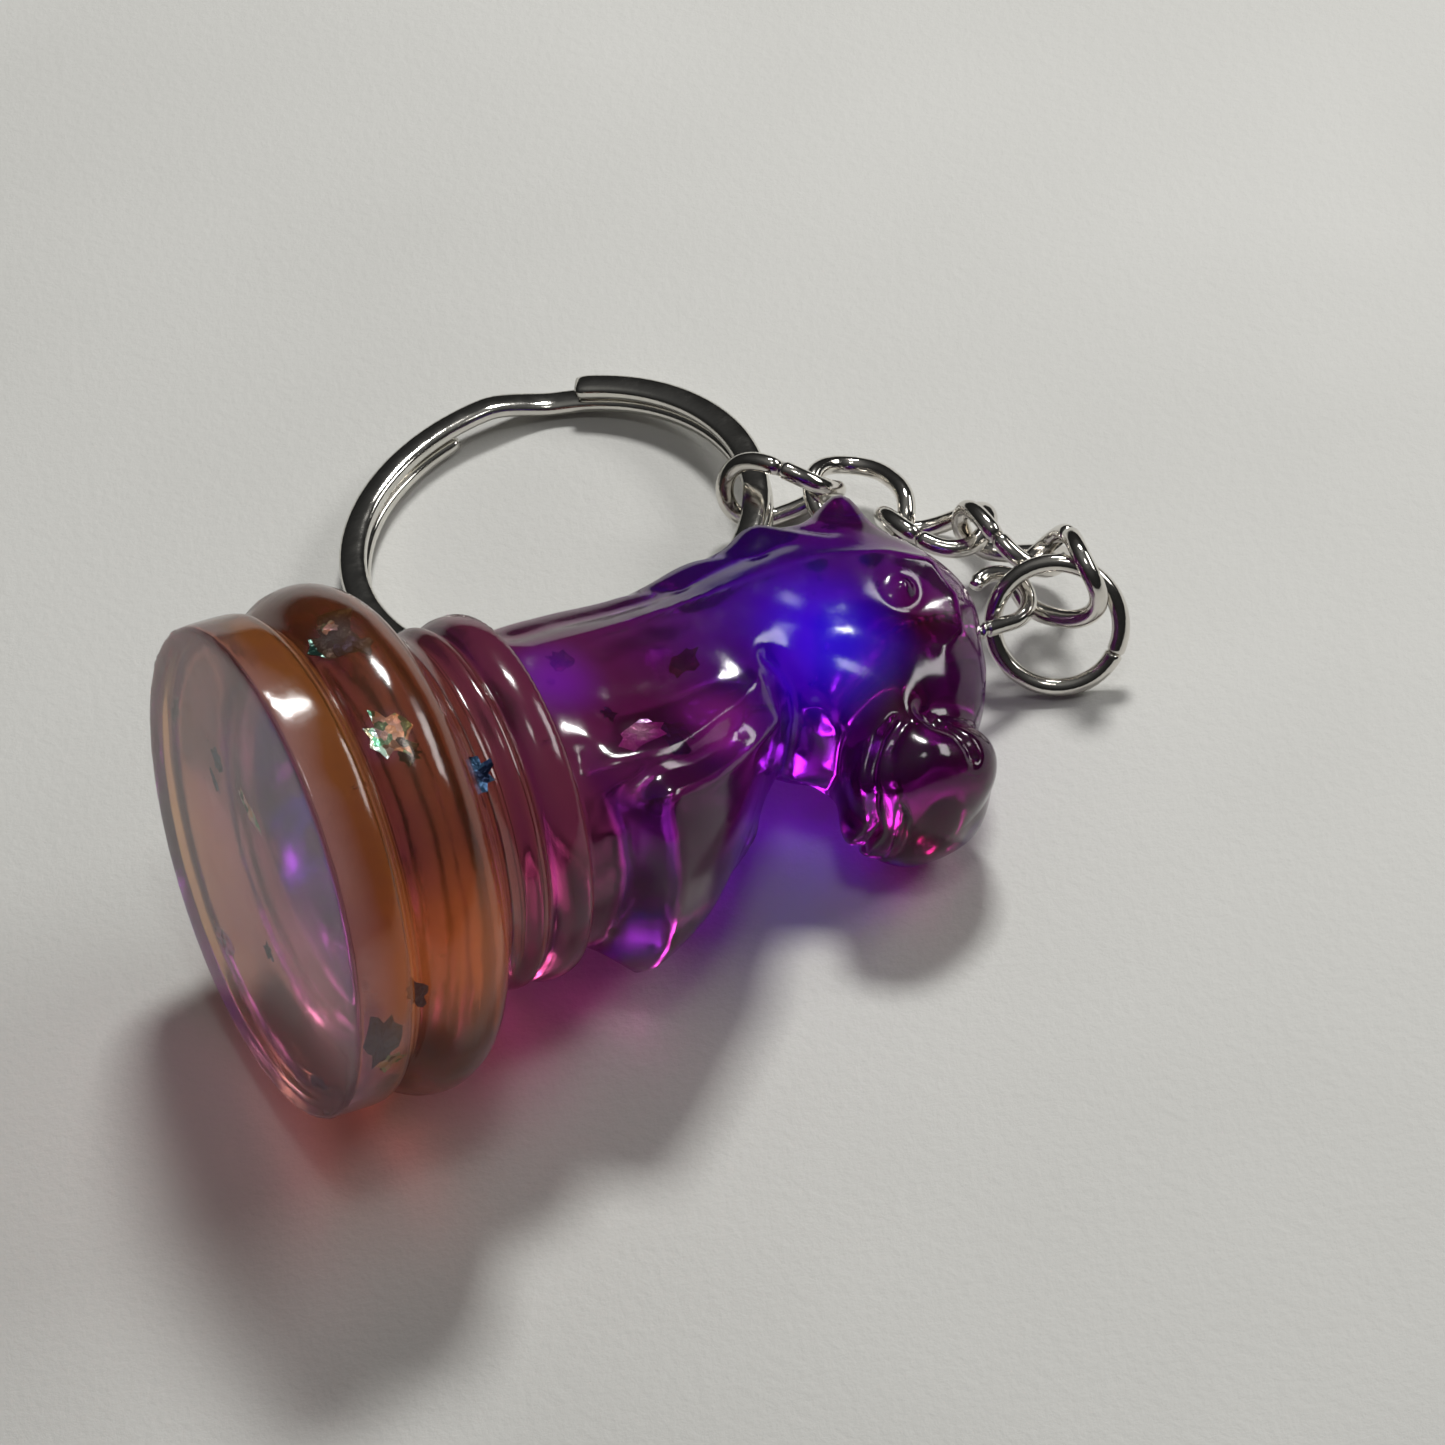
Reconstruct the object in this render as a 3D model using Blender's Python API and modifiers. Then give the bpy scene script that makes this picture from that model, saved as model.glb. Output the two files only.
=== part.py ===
"""Keychain with a cast-resin chess knight: casting, screw eye, jump ring, five curb links, split ring.

Constants are in millimetres, and MM turns them into metres where geometry is made. The knight
lies on its side, resting on its base bead and its cheek, and the chain and the split ring lie
on the same surface.
"""

from math import copysign, cos, pi, radians, sin

import bmesh
import bpy
from mathutils import Euler, Matrix, Vector

MM = 0.001

# Where the object's own origin lies in the layout below, millimetres.
ORIGIN = Vector((21.7, 15.6, -0.06))

# Knight, in its own frame: +X to the muzzle, +Z from the flat base to the head, millimetres.
BASE_RADIUS = 13.2
BEAD_RADIUS = 13.7
BEAD_HEIGHT = 6.3
WAIST_RADIUS = 9.4
COLLAR_RADIUS = 9.9
COLLAR_TOP = 15.2
KNIGHT_YAW = radians(18.3)
KNIGHT_DROP = radians(13.6)
KNIGHT_ROLL = radians(8.0)

# Screw eye in the top of the head.
EYE_WIRE = 0.9
EYE_LOOP_RADIUS = 1.55
EYE_LOOP_TURN = radians(225.0)
EYE_NECK = 1.9
EYE_SHANK_LENGTH = 7.0
EYE_PLACE = (-0.9, 0.0, 44.0)
EYE_SPIN = radians(12.0)
EYE_BORE_CLEARANCE = 0.15

# Jump ring, links and split ring.
JUMP_WIRE = 1.0
JUMP_RADIUS = 3.5
LINK_WIRE = 1.05
LINK_LENGTH = 6.4
LINK_WIDTH = 4.6
LINK_TWIST = radians(70.0)
RING_RADIUS = 12.5
RING_SECTION = (1.6, 0.95)
RING_TURN_GAP = 0.08
RING_STEPS = 100
RING_UPPER_END = radians(76.0)
RING_STEP_START = radians(332.0)
RING_STEP_END = radians(354.0)
RING_LOWER_END = radians(682.0)

# Where each loose piece lies: centre, then heading, rise and roll in degrees.
JUMP_PLACE = ((44.45, 14.63, 3.45), -30.0, -24.0, 51.5)
LINK_PLACES = (
    ((45.3, 16.8, 4.9), 122.0, -23.0, 129.0),
    ((43.1, 21.15, 3.65), 135.0, 2.0, 60.0),
    ((39.5, 24.6, 2.6), 144.0, -12.0, 33.0),
    ((35.75, 27.95, 2.2), 119.0, 14.0, -10.0),
    ((31.55, 29.7, 2.9), 165.5, 2.0, 82.0),
)
RING_PLACE = ((18.6, 31.2, 2.15), 0.0, 1.6, -5.4)

# (back or crest point, front or jaw point, half width, widening towards the back, squareness)
RIBS = (
    ((-8.4, 13.8), (8.3, 13.8), 7.9, 0.00, 2.2),
    ((-8.4, 17.0), (9.2, 17.2), 7.4, -0.02, 2.6),
    ((-8.3, 20.0), (10.2, 20.4), 7.0, -0.04, 3.0),
    ((-8.3, 23.0), (8.8, 23.4), 6.5, -0.06, 2.8),
    ((-8.6, 26.2), (6.2, 26.0), 6.1, -0.06, 2.6),
    ((-9.1, 29.6), (3.6, 28.4), 5.9, -0.04, 2.5),
    ((-9.7, 33.2), (2.7, 29.6), 5.8, -0.02, 2.5),
    ((-9.9, 36.6), (3.2, 30.4), 5.7, 0.00, 2.5),
    ((-9.0, 40.0), (3.8, 30.9), 5.5, 0.00, 2.4),
    ((-6.9, 42.2), (4.4, 31.3), 5.3, 0.00, 2.4),
    ((-4.0, 43.8), (5.0, 31.5), 5.1, -0.02, 2.4),
    ((-1.2, 43.9), (5.6, 31.6), 5.0, -0.04, 2.4),
    ((1.2, 42.6), (6.3, 31.6), 4.8, -0.06, 2.5),
    ((3.6, 41.2), (7.1, 31.5), 4.6, -0.06, 2.5),
    ((5.8, 40.7), (7.9, 31.5), 4.5, -0.06, 2.5),
    ((8.0, 40.0), (8.8, 31.8), 4.3, -0.06, 2.5),
    ((9.6, 38.6), (9.7, 32.5), 3.8, -0.06, 2.4),
    ((10.4, 37.0), (10.3, 33.8), 2.6, -0.04, 2.2),
)
RIB_POINTS = 16


def clear_scene():
    for found in list(bpy.data.objects):
        bpy.data.objects.remove(found, do_unlink=True)


def collection(name, hidden=False):
    made = bpy.data.collections.new(name)
    bpy.context.scene.collection.children.link(made)
    made.hide_render = hidden
    return made


def material(name, colour, roughness, metallic, alpha=1.0):
    made = bpy.data.materials.new(name)
    made.use_nodes = True
    shader = made.node_tree.nodes["Principled BSDF"]
    shader.inputs["Base Color"].default_value = (*colour, 1.0)
    shader.inputs["Roughness"].default_value = roughness
    shader.inputs["Metallic"].default_value = metallic
    shader.inputs["Alpha"].default_value = alpha
    return made


def mesh_object(name, mesh, group, finish, parent):
    made = bpy.data.objects.new(name, mesh)
    group.objects.link(made)
    if finish:
        mesh.materials.clear()
        mesh.materials.append(finish)
    made.parent = parent
    return made


def empty(name, group, parent=None, matrix=None):
    made = bpy.data.objects.new(name, None)
    group.objects.link(made)
    made.empty_display_size = 5 * MM
    made.parent = parent
    if matrix is not None:
        made.matrix_local = matrix
    return made


# Knight casting ------------------------------------------------------------------------------


def arc(centre_x, centre_z, radius, start, end, steps):
    turn = (end - start) / steps
    angles = [radians(start + turn * i) for i in range(steps + 1)]
    return [(centre_x + radius * cos(a), centre_z + radius * sin(a)) for a in angles]


def base_profile():
    """The turned foot's outline from the collar's top, down its outer side, to the flat face."""
    bead = BEAD_RADIUS - 2.9
    outline = [(0.0, COLLAR_TOP), (8.6, COLLAR_TOP)]
    outline += [(COLLAR_RADIUS - 0.5, COLLAR_TOP - 0.3), (COLLAR_RADIUS, COLLAR_TOP - 1.0)]
    outline += [(COLLAR_RADIUS - 0.1, 13.2), (WAIST_RADIUS, 12.7), (WAIST_RADIUS + 0.3, 12.0)]
    outline += [(WAIST_RADIUS + 0.1, 11.2), (WAIST_RADIUS + 0.5, 10.4)]
    outline += arc(bead, BEAD_HEIGHT, 2.9, 75, -60, 8)
    outline += [(BASE_RADIUS - 0.55, 3.9), (BASE_RADIUS - 0.1, 3.4), (BASE_RADIUS, 2.8)]
    outline += [(BASE_RADIUS, 0.3), (BASE_RADIUS - 0.3, 0.0), (0.0, 0.0)]
    return outline


def turned_mesh(name, outline, steps, group):
    mesh = bpy.data.meshes.new(name)
    points = [(x * MM, 0.0, z * MM) for x, z in outline]
    mesh.from_pydata(points, [(i, i + 1) for i in range(len(points) - 1)], [])
    made = mesh_object(name, mesh, group, None, None)
    screw = made.modifiers.new("turn", "SCREW")
    screw.steps = screw.render_steps = steps
    screw.use_merge_vertices = True
    screw.merge_threshold = 0.00001
    return made


def power(value, exponent):
    return copysign(abs(value) ** exponent, value)


def rib_loop(rib):
    """One closed section of the horse: a squarish oval between its crest and its front."""
    (back_x, back_z), (front_x, front_z), half_width, widening, squareness = rib
    back = Vector((back_x, 0.0, back_z))
    front = Vector((front_x, 0.0, front_z))
    middle = (back + front) / 2
    reach = (back - front) / 2
    loop = []
    for i in range(RIB_POINTS):
        angle = 2 * pi * i / RIB_POINTS
        along = power(cos(angle), 2 / squareness)
        across = power(sin(angle), 2 / squareness) * half_width * (1 + widening * along)
        loop.append((middle + reach * along + Vector((0.0, across, 0.0))) * MM)
    return loop


def horse_mesh(name, group):
    """The neck and head as a loft through the ribs, smoothed by Subdivision Surface."""
    build = bmesh.new()
    loops = [[build.verts.new(point) for point in rib_loop(rib)] for rib in RIBS]
    for lower, upper in zip(loops, loops[1:]):
        for i in range(RIB_POINTS):
            j = (i + 1) % RIB_POINTS
            build.faces.new((lower[i], lower[j], upper[j], upper[i]))
    build.faces.new(list(reversed(loops[0])))
    build.faces.new(loops[-1])
    bmesh.ops.recalc_face_normals(build, faces=build.faces)
    mesh = bpy.data.meshes.new(name)
    build.to_mesh(mesh)
    build.free()
    made = mesh_object(name, mesh, group, None, None)
    smooth = made.modifiers.new("smooth", "SUBSURF")
    smooth.levels = smooth.render_levels = 1
    return made


def boolean(target, other, operation):
    step = target.modifiers.new(operation.lower(), "BOOLEAN")
    step.operation = operation
    step.object = other
    step.solver = "EXACT"


def helper(made):
    made.hide_render = True
    made.display_type = "WIRE"
    return made


def knight_casting(group, cutters, finish, parent, bore):
    casting = turned_mesh("knight_casting", base_profile(), 48, group)
    casting.data.materials.append(finish)
    casting.parent = parent
    horse = helper(horse_mesh("horse", cutters))
    horse.parent = parent
    boolean(casting, horse, "UNION")
    bore.parent = parent
    boolean(casting, bore, "DIFFERENCE")
    return casting


def screw_bore(cutters, matrix):
    """The hole that the screw eye's shank sits in, open at the top of the head."""
    build = bmesh.new()
    radius = (EYE_WIRE / 2 + EYE_BORE_CLEARANCE) * MM
    depth = (EYE_SHANK_LENGTH + 0.4) * MM
    bmesh.ops.create_cone(
        build, cap_ends=True, segments=12, radius1=radius, radius2=radius, depth=depth + 3 * MM
    )
    bmesh.ops.translate(build, verts=build.verts, vec=(0, 0, (3 * MM - depth) / 2))
    mesh = bpy.data.meshes.new("screw_bore")
    build.to_mesh(mesh)
    build.free()
    made = helper(mesh_object("screw_bore", mesh, cutters, None, None))
    made.matrix_local = matrix
    return made


# Metal ---------------------------------------------------------------------------------------


def wire(name, points, diameter, group, finish, parent, closed=True, sides=3):
    """A round wire along these points, which are in millimetres in the parent's frame."""
    curve = bpy.data.curves.new(name, "CURVE")
    curve.dimensions = "3D"
    spline = curve.splines.new("POLY")
    spline.points.add(len(points) - 1)
    for target, point in zip(spline.points, points):
        target.co = (*(Vector(point) * MM), 1.0)
    spline.use_cyclic_u = closed
    curve.bevel_depth = diameter / 2 * MM
    curve.bevel_resolution = sides
    curve.use_fill_caps = True
    curve.materials.append(finish)
    made = bpy.data.objects.new(name, curve)
    group.objects.link(made)
    made.parent = parent
    return made


def circle_points(radius, count):
    return [
        (radius * cos(2 * pi * i / count), radius * sin(2 * pi * i / count), 0.0)
        for i in range(count)
    ]


def link_points(count=32):
    """An oval whose two ends are turned against each other about its long axis, as in curb chain."""
    straight = (LINK_LENGTH - LINK_WIDTH) / 2
    points = []
    for i in range(count):
        angle = 2 * pi * (i + 0.5) / count
        x = LINK_WIDTH / 2 * cos(angle) + copysign(straight, cos(angle))
        y = LINK_WIDTH / 2 * sin(angle)
        twist = LINK_TWIST * x / LINK_LENGTH
        points.append((x, y * cos(twist), y * sin(twist)))
    return points


def eye_points():
    """The screw eye's wire: up its shank at x = 0, then round the loop towards -X."""
    points = [(0.0, 0.0, z) for z in (-EYE_SHANK_LENGTH, 0.0, EYE_NECK)]
    for i in range(1, 21):
        angle = EYE_LOOP_TURN * i / 20
        points.append(
            (EYE_LOOP_RADIUS * (cos(angle) - 1), 0.0, EYE_NECK + EYE_LOOP_RADIUS * sin(angle))
        )
    return points


def coil_points():
    """The split ring's wire: round the upper turn, down the step, and round the lower turn."""
    width, height = RING_SECTION
    radius = RING_RADIUS - width / 2
    rise = height + RING_TURN_GAP
    points = []
    for i in range(RING_STEPS + 1):
        turned = RING_LOWER_END * i / RING_STEPS
        drop = min(1.0, max(0.0, (turned - RING_STEP_START) / (RING_STEP_END - RING_STEP_START)))
        drop = drop * drop * (3 - 2 * drop)
        angle = RING_UPPER_END - turned
        points.append((radius * cos(angle), radius * sin(angle), rise * (0.5 - drop)))
    return points


def section_curve(group):
    """The split ring's wire section: a flattened round, used as the bevel outline."""
    width, height = RING_SECTION
    curve = bpy.data.curves.new("ring_section", "CURVE")
    curve.dimensions = "2D"
    spline = curve.splines.new("POLY")
    count = 12
    spline.points.add(count - 1)
    for i, target in enumerate(reversed(spline.points)):
        angle = 2 * pi * (i + 0.5) / count
        across = power(cos(angle), 0.75) * width / 2
        up = power(sin(angle), 0.75) * height / 2
        target.co = (across * MM, up * MM, 0.0, 1.0)
    spline.use_cyclic_u = True
    made = helper(bpy.data.objects.new("ring_section", curve))
    group.objects.link(made)
    return made


def turned_frame(centre, heading, rise, roll):
    """A frame at centre, its X along heading and rise, rolled about that X. Angles in degrees."""
    turn = Euler((radians(roll), radians(-rise), radians(heading)), "XYZ")
    return Matrix.Translation(Vector(centre) * MM) @ turn.to_matrix().to_4x4()


def main():
    clear_scene()
    group = collection("resin_knight_keychain")
    cutters = collection("cutters", hidden=True)
    resin = material("resin", (0.30, 0.06, 0.42), 0.12, 0.0, 0.8)
    nickel = material("nickel", (0.72, 0.71, 0.68), 0.2, 1.0)

    layout = empty("layout", group)
    layout.location = -ORIGIN * MM

    knight_height = BEAD_HEIGHT * sin(KNIGHT_DROP) + BEAD_RADIUS * cos(KNIGHT_DROP)
    lying = Euler((0.0, pi / 2 + KNIGHT_DROP, KNIGHT_YAW), "XYZ").to_matrix().to_4x4()
    spin = Matrix.Rotation(KNIGHT_ROLL - pi / 2, 4, "Z")
    place = Matrix.Translation(Vector((0.0, 0.0, knight_height)) * MM) @ lying @ spin
    knight = empty("knight_frame", group, layout, place)

    eye_place = Matrix.Rotation(EYE_SPIN, 4, "Z") @ Matrix.Translation(Vector(EYE_PLACE) * MM)
    knight_casting(group, cutters, resin, knight, screw_bore(cutters, eye_place))
    eye_frame = empty("eye_frame", group, knight, eye_place)
    wire("screw_eye", eye_points(), EYE_WIRE, group, nickel, eye_frame, closed=False)

    jump_frame = empty("jump_ring_frame", group, layout, turned_frame(*JUMP_PLACE))
    wire("jump_ring", circle_points(JUMP_RADIUS, 36), JUMP_WIRE, group, nickel, jump_frame)

    for number, link_place in enumerate(LINK_PLACES, start=1):
        link_frame = empty(f"chain_link_{number}_frame", group, layout, turned_frame(*link_place))
        name = f"chain_link_{number}"
        wire(name, link_points(), LINK_WIRE, group, nickel, link_frame)

    ring_frame = empty("split_ring_frame", group, layout, turned_frame(*RING_PLACE))
    ring = wire("split_ring", coil_points(), 1.0, group, nickel, ring_frame, closed=False)
    ring.data.twist_mode = "Z_UP"
    ring.data.bevel_mode = "OBJECT"
    ring.data.bevel_object = section_curve(cutters)


main()
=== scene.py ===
"""Looks of the resin chess-knight keychain: dyed casting, foil flakes, air bubbles and nickel chain."""

from math import atan2, copysign, cos, pi, radians, sin

import bmesh
import bpy
import numpy as np
from mathutils import Euler, Matrix, Vector, noise


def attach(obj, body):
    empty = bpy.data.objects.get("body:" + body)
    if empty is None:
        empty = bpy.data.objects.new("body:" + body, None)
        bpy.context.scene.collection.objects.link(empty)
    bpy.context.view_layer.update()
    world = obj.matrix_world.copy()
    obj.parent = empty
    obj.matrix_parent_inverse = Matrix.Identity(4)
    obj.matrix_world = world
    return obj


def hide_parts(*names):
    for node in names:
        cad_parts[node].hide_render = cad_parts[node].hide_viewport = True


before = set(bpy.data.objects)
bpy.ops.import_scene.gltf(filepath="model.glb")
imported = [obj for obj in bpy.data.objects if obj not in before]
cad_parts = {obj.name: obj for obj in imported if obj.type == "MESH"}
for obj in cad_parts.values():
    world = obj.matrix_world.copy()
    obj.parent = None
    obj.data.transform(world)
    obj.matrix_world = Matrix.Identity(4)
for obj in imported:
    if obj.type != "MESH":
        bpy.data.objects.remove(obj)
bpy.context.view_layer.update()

MM = 0.001

# Where the object's own origin lies in the layout, millimetres.
ORIGIN = Vector((21.7, 15.6, -0.06))

# Knight, in its own frame: +X to the muzzle, +Z from the flat foot to the head, millimetres.
BASE_RADIUS = 13.2
BEAD_RADIUS = 13.7
BEAD_HEIGHT = 6.3
BEAD_SECTION = 2.9
WAIST_RADIUS = 9.4
COLLAR_RADIUS = 9.9
COLLAR_TOP = 15.2
COLLAR_EDGE = COLLAR_TOP - 0.02
KNIGHT_YAW = radians(18.3)
KNIGHT_DROP = radians(13.6)
KNIGHT_ROLL = radians(8.0)
AROUND = 192
HORSE_STATIONS = 170
# Above the collar's top: where the horse's first loop may lie, where its carving starts, and
# over how much height the carving sets in.
HORSE_LIFT = 0.25
CARVING_START = 0.2
CARVING_FADE = 1.0
# Loops between the collar and the horse: share of the way across, and lift.
JOINING_LOOPS = ((0.45, 0.0), (0.75, 0.0), (0.9, 0.03), (0.97, 0.12))
# At the muzzle's tip the carving fades out over this many loops, and is gone in the last few.
TIP_FADE = 8
TIP_PLAIN = 4

# Bands of fine ticks that the mould left round the bead and the collar.
TICK_BANDS = ((4.3, 5.3), (14.2, 14.9))
TICK_HEIGHT = 0.03
# Unevenness of the pour: height and grain of the wobble and of the chips at the foot's edge.
WOBBLE_HEIGHT = 0.03
WOBBLE_GRAIN = 0.5
CHIP_HEIGHT = 0.22
CHIP_GRAIN = 2.6
CHIP_START = 0.12
CHIP_MIDDLE = 0.12
CHIP_REACH = 0.4
CHIP_RADIUS_SQUARED = 150.0
# Below this height the casting is left flat.
FLAT_TOP = 0.05

# Screw eye.
EYE_WIRE = 0.9
EYE_LOOP_RADIUS = 1.55
EYE_LOOP_TURN = radians(225.0)
EYE_NECK = 1.9
EYE_SHANK_LENGTH = 7.0
EYE_PLACE = (-0.9, 0.0, 44.0)
EYE_SPIN = radians(12.0)
THREAD_PITCH = 0.62
THREAD_DEPTH = 0.16

# Jump ring, links and split ring.
JUMP_WIRE = 1.0
JUMP_RADIUS = 3.5
JUMP_STEPS = 160
JUMP_CUT = 0.004
LINK_WIRE = 1.05
LINK_LENGTH = 6.4
LINK_WIDTH = 4.6
LINK_TWIST = radians(70.0)
LINK_STEPS = 120
LINK_CUT = 0.006
SEAM_GAP = 0.05
WIRE_SIDES = 24
RING_RADIUS = 12.5
RING_SECTION = (1.6, 0.95)
RING_TURN_GAP = 0.08
RING_UPPER_END = radians(76.0)
RING_STEP_START = radians(332.0)
RING_STEP_END = radians(354.0)
RING_LOWER_END = radians(682.0)
RING_STEPS = 420

# Where each loose piece lies: centre, then heading, rise and roll in degrees.
JUMP_PLACE = ((44.45, 14.63, 3.45), -30.0, -24.0, 51.5)
LINK_PLACES = (
    ((45.3, 16.8, 4.9), 122.0, -23.0, 129.0),
    ((43.1, 21.15, 3.65), 135.0, 2.0, 60.0),
    ((39.5, 24.6, 2.6), 144.0, -12.0, 33.0),
    ((35.75, 27.95, 2.2), 119.0, 14.0, -10.0),
    ((31.55, 29.7, 2.9), 165.5, 2.0, 82.0),
)
RING_PLACE = ((18.6, 31.2, 2.15), 0.0, 1.6, -5.4)

# Horse sections: back or crest point, front or jaw point, half width, widening, squareness.
RIBS = (
    ((-8.4, 13.8), (8.3, 13.8), 7.9, 0.00, 2.2),
    ((-8.4, 17.0), (9.2, 17.2), 7.4, -0.02, 2.6),
    ((-8.3, 20.0), (10.2, 20.4), 7.0, -0.04, 3.0),
    ((-8.3, 23.0), (8.8, 23.4), 6.5, -0.06, 2.8),
    ((-8.6, 26.2), (6.2, 26.0), 6.1, -0.06, 2.6),
    ((-9.1, 29.6), (3.6, 28.4), 5.9, -0.04, 2.5),
    ((-9.7, 33.2), (2.7, 29.6), 5.8, -0.02, 2.5),
    ((-9.9, 36.6), (3.2, 30.4), 5.7, 0.00, 2.5),
    ((-9.0, 40.0), (3.8, 30.9), 5.5, 0.00, 2.4),
    ((-6.9, 42.2), (4.4, 31.3), 5.3, 0.00, 2.4),
    ((-4.0, 43.8), (5.0, 31.5), 5.1, -0.02, 2.4),
    ((-1.2, 43.9), (5.6, 31.6), 5.0, -0.04, 2.4),
    ((1.2, 42.6), (6.3, 31.6), 4.8, -0.06, 2.5),
    ((3.6, 41.2), (7.1, 31.5), 4.6, -0.06, 2.5),
    ((5.8, 40.7), (7.9, 31.5), 4.5, -0.06, 2.5),
    ((8.0, 40.0), (8.8, 31.8), 4.3, -0.06, 2.5),
    ((9.6, 38.6), (9.7, 32.5), 3.8, -0.06, 2.4),
    ((10.4, 37.0), (10.3, 33.8), 2.6, -0.04, 2.2),
)
RIB_POINTS = 32

# Sharp ridges (height above 0) and rounded grooves (below 0) carved on both flanks:
# the line's points as (x, distance from the middle plane, z), its half width and its height.
CARVED_LINES = (
    # Shoulder ridge, hollow beside it, chest ridge, chest ledge and the step over the collar.
    (
        ((4.9, 6.5, 16.6), (5.2, 6.6, 19.1), (5.1, 6.4, 21.2), (4.2, 6.1, 23.3), (1.8, 5.4, 27.4)),
        1.0,
        0.75,
    ),
    (((6.3, 6.1, 18.6), (6.1, 6.1, 21.4), (4.8, 5.6, 24.6)), 0.9, -0.5),
    (
        ((7.2, 5.8, 19.4), (7.0, 5.8, 20.8), (6.5, 5.6, 22.4), (5.4, 5.1, 24.6), (3.4, 4.3, 27.6)),
        1.2,
        1.0,
    ),
    (((7.2, 5.8, 19.4), (8.6, 4.6, 19.4), (9.5, 2.4, 19.4), (9.8, 0.0, 19.4)), 1.5, 1.1),
    (
        ((4.6, 7.0, 15.9), (6.6, 6.2, 16.3), (8.0, 5.2, 16.7), (9.0, 3.0, 16.8), (9.3, 0.0, 16.8)),
        1.0,
        -0.6,
    ),
    (((2.0, 7.0, 17.6), (3.4, 7.0, 16.9), (4.9, 6.5, 16.6)), 0.6, 0.3),
    (((1.6, 6.9, 19.4), (1.7, 6.5, 22.8), (1.4, 6.0, 25.6)), 1.4, -0.42),
    # Edge between the flank and the mane, with the hollow behind it.
    (
        ((-2.9, 6.6, 16.8), (-3.3, 6.3, 20.5), (-3.8, 5.9, 24.0), (-4.1, 5.7, 28.0))
        + ((-4.6, 5.5, 32.0), (-4.6, 5.4, 35.0), (-4.0, 5.0, 38.5), (-3.0, 4.4, 40.8)),
        0.9,
        0.5,
    ),
    (((-5.2, 5.9, 17.0), (-5.9, 5.3, 24.0), (-6.6, 5.2, 30.0), (-7.0, 5.0, 34.0)), 1.1, -0.3),
    # Locks of the mane, only just marked.
    (((-7.9, 2.4, 24.2), (-7.2, 3.8, 25.4), (-6.0, 5.0, 27.4)), 0.45, -0.14),
    (((-8.6, 2.4, 29.2), (-7.8, 3.8, 30.4), (-6.6, 5.0, 32.4)), 0.45, -0.14),
    (((-9.2, 2.4, 33.6), (-8.4, 3.8, 34.8), (-7.0, 5.0, 36.8)), 0.45, -0.2),
    # Throat, jaw, mouth and nostril.
    (
        ((0.2, 5.2, 29.3), (0.9, 4.9, 30.0), (1.8, 3.8, 30.4), (2.5, 2.0, 30.3), (2.7, 0.0, 30.3)),
        0.55,
        -0.6,
    ),
    (((2.9, 3.4, 31.2), (4.4, 2.6, 31.6), (5.2, 0.0, 31.7)), 0.6, -0.3),
    (
        ((5.8, 4.2, 34.2), (6.2, 3.9, 33.1), (7.3, 3.2, 32.3), (8.4, 2.2, 32.1), (9.0, 0.0, 32.1)),
        0.26,
        -0.55,
    ),
    (
        ((6.3, 4.3, 34.6), (7.4, 3.8, 33.3), (8.9, 2.8, 32.9), (9.8, 1.4, 33.0), (10.0, 0.0, 33.0)),
        0.26,
        -0.34,
    ),
    (((5.6, 4.6, 35.9), (6.4, 4.5, 36.5), (7.6, 4.2, 37.0), (9.0, 3.6, 37.2)), 0.34, -0.42),
    # Brow over the eye, and the notch between the forehead and the nose.
    (
        ((-3.2, 4.9, 38.9), (-2.6, 4.6, 40.6), (-0.6, 4.4, 41.1), (1.6, 4.3, 40.2), (2.6, 4.5, 38.6)),
        0.7,
        0.45,
    ),
    (((5.9, 4.6, 36.9), (6.2, 3.8, 39.0), (6.4, 0.0, 40.5)), 1.3, -0.95),
)

# How quickly a swelling or hollow fades at its radius.
SPOT_FALL = 1.4
# Round swellings (height above 0) and hollows, on both flanks: centre, radius, height.
CARVED_SPOTS = (
    ((-0.6, 4.9, 38.4), 2.2, -0.55),
    ((-1.6, 4.8, 38.4), 0.8, 1.0),
    ((1.6, 5.2, 34.8), 3.2, 0.35),
    ((-1.9, 5.6, 33.4), 2.4, -0.3),
    ((8.3, 4.0, 35.0), 1.7, 0.4),
    ((-8.5, 3.1, 38.6), 1.7, 1.2),
    ((-9.5, 3.1, 39.0), 1.3, 1.3),
    ((3.0, 2.6, 41.2), 2.0, 0.35),
    ((8.9, 2.2, 37.6), 2.2, 0.4),
    ((7.6, 2.2, 32.0), 1.7, 0.55),
)

# The mane falls to the -Y flank, and the +Y flank is left lower where the split ring swings past.
MANE_SPOTS = (
    ((-8.2, -3.4, 33.4), 1.7, 0.8),
    ((-7.6, -3.8, 28.6), 2.4, 0.3),
    ((-8.2, 2.8, 28.8), 3.0, -0.45),
)

# How torn foil is: how far past its given size it reaches, corners, depth of the tears, curl.
FLAKE_SPREAD = 1.25
FLAKE_CORNERS = 17
FLAKE_JAG = 0.8
FLAKE_CURL = 0.16
FLAKE_THICKNESS = 0.04
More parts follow.
